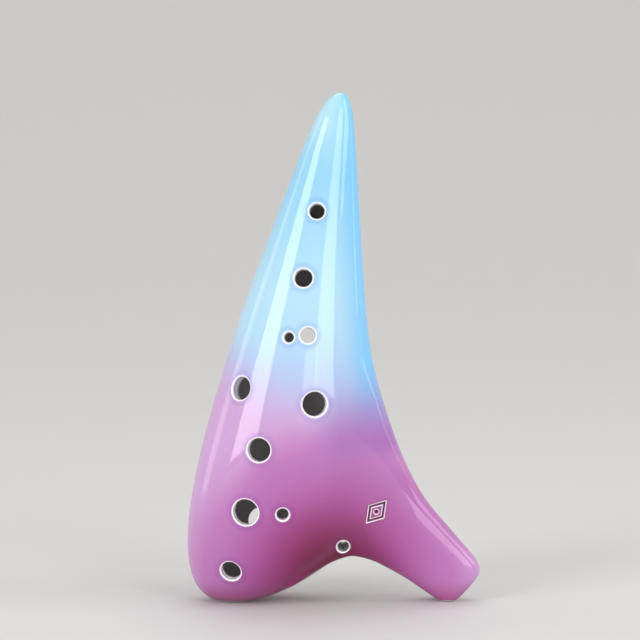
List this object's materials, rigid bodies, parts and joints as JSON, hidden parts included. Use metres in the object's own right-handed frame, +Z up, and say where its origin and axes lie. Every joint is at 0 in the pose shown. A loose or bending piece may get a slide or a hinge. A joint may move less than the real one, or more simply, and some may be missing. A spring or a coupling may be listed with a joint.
{
  "type": "ocarina",
  "caption": "Transverse ocarina in glazed ceramic: hollow cone-shaped body with tone holes, a blowing beak at its side, and a small web with a hole for a neck cord.",
  "frame": {"origin": "on the surface it stands on, under the middle of its width and depth", "axes": "+Z up, from the bulb to the cone's tip; +X from the bulb towards the beak; +Y from the finger side to the thumb side"},
  "size_m": [0.1063, 0.0496, 0.1847],
  "materials": {
    "shell_glaze": "high-gloss glaze that fades from sky blue at the tip to magenta purple at the bulb, with bare pale clay inside",
    "beak_glaze": "high-gloss magenta purple glaze, broken to a pale line at the edges of openings"
  },
  "bodies": {
    "root": {"front_shell": "shell_glaze", "back_shell": "shell_glaze", "beak_floor": "beak_glaze", "beak_roof": "beak_glaze", "windway_wall_upper": "beak_glaze", "windway_wall_lower": "beak_glaze", "labium_plate": "beak_glaze", "cord_web": "beak_glaze"}
  },
  "joints": []
}
